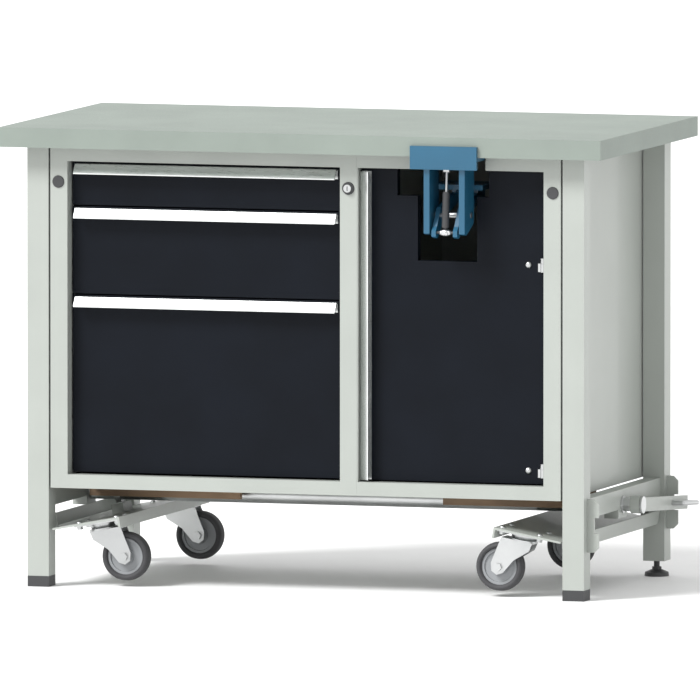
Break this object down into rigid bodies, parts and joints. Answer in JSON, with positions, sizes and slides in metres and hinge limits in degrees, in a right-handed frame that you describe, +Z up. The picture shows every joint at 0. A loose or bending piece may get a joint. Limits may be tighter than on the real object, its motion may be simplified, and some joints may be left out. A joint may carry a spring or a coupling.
{
  "type": "workbench with drawers",
  "caption": "Mobile workbench with drawers, a door cabinet, a fold-down vise lift and a side lever that lowers two caster carriers to make it roll.",
  "frame": {"origin": "middle of the bench's outline at floor level, under the feet", "axes": "+X along the length to the lever end, +Y to the back, +Z up"},
  "size_m": [1.2801, 0.708, 0.935],
  "materials": {
    "frame_paint": "light grey powder coat, satin",
    "worktop_surface": "grey-green coated board, fine texture",
    "navy_paint": "dark blue-black powder coat, satin",
    "grip_aluminium": "clear anodised, brushed lengthwise",
    "black_plastic": "moulded black plastic",
    "zinc_steel": "zinc plated",
    "lift_blue": "blue paint, semi gloss",
    "board_wood": "raw layered board",
    "wheel_core": "grey moulded plastic",
    "tyre_rubber": "dark grey rubber, matt"
  },
  "bodies": {
    "frame": {"worktop": "worktop_surface", "left_leg_frame": "frame_paint", "right_leg_frame": "frame_paint", "lever_catches": "frame_paint", "front_foot_caps": "black_plastic", "rear_leg_inserts": "black_plastic", "filler_strips": "frame_paint", "cover_plugs": "black_plastic", "drawer_cabinet_shell": "frame_paint", "drawer_cabinet_front": "frame_paint", "door_cabinet_shell": "frame_paint", "door_cabinet_front": "frame_paint", "cabinet_runners": "zinc_steel", "lock_housing": "black_plastic", "frame_hinge_pins": "zinc_steel", "shelf": "frame_paint", "lift_bracket": "lift_blue", "lift_pivot_pin": "zinc_steel", "bearer_boards": "board_wood", "carrier_hinge_pins": "zinc_steel"},
    "foot_left": {"levelling_foot_left": "black_plastic"},
    "foot_right": {"levelling_foot_right": "black_plastic"},
    "lock": {"lock_cylinder": "zinc_steel"},
    "door": {"door_panel": "navy_paint", "door_handle": "grip_aluminium", "door_screws": "zinc_steel", "door_hinge_knuckles": "zinc_steel"},
    "lift": {"lift_arms": "lift_blue", "vise_plate": "lift_blue"},
    "gas_spring_body": {"gas_cylinder": "black_plastic"},
    "gas_spring_rod": {"gas_rod": "zinc_steel"},
    "shaft": {"cross_shaft": "zinc_steel"},
    "lever": {"lever": "frame_paint", "lever_handle": "zinc_steel"},
    "carrier_left": {"carrier_left": "frame_paint", "caster_plates_left": "zinc_steel"},
    "carrier_right": {"carrier_right": "frame_paint", "caster_plates_right": "zinc_steel"},
    "drawer_top": {"drawer_box_top": "frame_paint", "drawer_front_top": "navy_paint", "drawer_handle_top": "grip_aluminium"},
    "drawer_middle": {"drawer_box_middle": "frame_paint", "drawer_front_middle": "navy_paint", "drawer_handle_middle": "grip_aluminium"},
    "drawer_bottom": {"drawer_box_bottom": "frame_paint", "drawer_front_bottom": "navy_paint", "drawer_handle_bottom": "grip_aluminium"},
    "fork_front_left": {"fork_front_left": "zinc_steel"},
    "wheel_front_left": {"wheel_front_left": "wheel_core", "tyre_front_left": "tyre_rubber"},
    "fork_front_right": {"fork_front_right": "zinc_steel"},
    "wheel_front_right": {"wheel_front_right": "wheel_core", "tyre_front_right": "tyre_rubber"},
    "fork_rear_left": {"fork_rear_left": "zinc_steel"},
    "wheel_rear_left": {"wheel_rear_left": "wheel_core", "tyre_rear_left": "tyre_rubber"},
    "fork_rear_right": {"fork_rear_right": "zinc_steel"},
    "wheel_rear_right": {"wheel_rear_right": "wheel_core", "tyre_rear_right": "tyre_rubber"}
  },
  "joints": [
    {"name": "drawer_top_slide", "type": "slide", "parent": "frame", "child": "drawer_top", "axis": [0, -1, 0], "range_m": [0, 0.45]},
    {"name": "drawer_middle_slide", "type": "slide", "parent": "frame", "child": "drawer_middle", "axis": [0, -1, 0], "range_m": [0, 0.45]},
    {"name": "drawer_bottom_slide", "type": "slide", "parent": "frame", "child": "drawer_bottom", "axis": [0, -1, 0], "range_m": [0, 0.45]},
    {"name": "door_swing", "type": "hinge", "parent": "frame", "child": "door", "pos_m": [0.496, -0.281, 0.47], "axis": [0, 0, 1], "range_deg": [0, 100]},
    {"name": "lock_turn", "type": "hinge", "parent": "frame", "child": "lock", "pos_m": [0.0915, -0.301, 0.824], "axis": [0, -1, 0], "range_deg": [0, 90]},
    {"name": "foot_left_screw", "type": "hinge", "parent": "frame", "child": "foot_left", "pos_m": [-0.565, 0.2985, 0.03], "axis": [0, 0, 1], "continuous": true},
    {"name": "foot_right_screw", "type": "hinge", "parent": "frame", "child": "foot_right", "pos_m": [0.565, 0.2985, 0.03], "axis": [0, 0, 1], "continuous": true},
    {"name": "lever_swing", "type": "hinge", "parent": "frame", "child": "shaft", "pos_m": [0, 0.006, 0.171], "axis": [1, 0, 0], "range_deg": [0, 187.72]},
    {"name": "lever_pull", "type": "slide", "parent": "shaft", "child": "lever", "axis": [1, 0, 0], "range_m": [-0.009, 0]},
    {"name": "carrier_left_tilt", "type": "hinge", "parent": "frame", "child": "carrier_left", "pos_m": [-0.565, 0.01, 0.127], "axis": [0, 1, 0], "range_deg": [0, 10.5]},
    {"name": "carrier_right_tilt", "type": "hinge", "parent": "frame", "child": "carrier_right", "pos_m": [0.565, 0.01, 0.127], "axis": [0, -1, 0], "range_deg": [0, 10.5]},
    {"name": "swivel_front_left", "type": "hinge", "parent": "carrier_left", "child": "fork_front_left", "pos_m": [-0.44686, -0.2415, 0.13161], "axis": [-0.1822, 0, 0.9833], "continuous": true},
    {"name": "roll_front_left", "type": "hinge", "parent": "fork_front_left", "child": "wheel_front_left", "pos_m": [-0.39528, -0.2415, 0.06184], "axis": [0, 1, 0], "continuous": true},
    {"name": "swivel_front_right", "type": "hinge", "parent": "carrier_right", "child": "fork_front_right", "pos_m": [0.44686, -0.2415, 0.13161], "axis": [0.1822, 0, 0.9833], "continuous": true},
    {"name": "roll_front_right", "type": "hinge", "parent": "fork_front_right", "child": "wheel_front_right", "pos_m": [0.39528, -0.2415, 0.06184], "axis": [0, 1, 0], "continuous": true},
    {"name": "swivel_rear_left", "type": "hinge", "parent": "carrier_left", "child": "fork_rear_left", "pos_m": [-0.44686, 0.2615, 0.13161], "axis": [-0.1822, 0, 0.9833], "continuous": true},
    {"name": "roll_rear_left", "type": "hinge", "parent": "fork_rear_left", "child": "wheel_rear_left", "pos_m": [-0.39528, 0.2615, 0.06184], "axis": [0, 1, 0], "continuous": true},
    {"name": "swivel_rear_right", "type": "hinge", "parent": "carrier_right", "child": "fork_rear_right", "pos_m": [0.44686, 0.2615, 0.13161], "axis": [0.1822, 0, 0.9833], "continuous": true},
    {"name": "roll_rear_right", "type": "hinge", "parent": "fork_rear_right", "child": "wheel_rear_right", "pos_m": [0.39528, 0.2615, 0.06184], "axis": [0, 1, 0], "continuous": true},
    {"name": "lift_swing", "type": "hinge", "parent": "frame", "child": "lift", "pos_m": [0.307, -0.3, 0.775], "axis": [1, 0, 0], "range_deg": [-40, 0]},
    {"name": "gas_spring_pivot", "type": "hinge", "parent": "lift", "child": "gas_spring_body", "pos_m": [0.307, -0.338, 0.742], "axis": [1, 0, 0], "range_deg": [0, 31.11]},
    {"name": "gas_spring_stroke", "type": "slide", "parent": "gas_spring_body", "child": "gas_spring_rod", "axis": [0, 0.0948, 0.9955], "range_m": [-0.0301, 0]}
  ],
  "couplings": [
    {"joint": "carrier_left_tilt", "follows": "lever_swing", "ratio": 0.05593},
    {"joint": "carrier_right_tilt", "follows": "lever_swing", "ratio": 0.05593},
    {"joint": "gas_spring_pivot", "follows": "lift_swing", "ratio": -0.7728},
    {"joint": "gas_spring_stroke", "follows": "lift_swing", "m_per_rad": 0.042422}
  ]
}
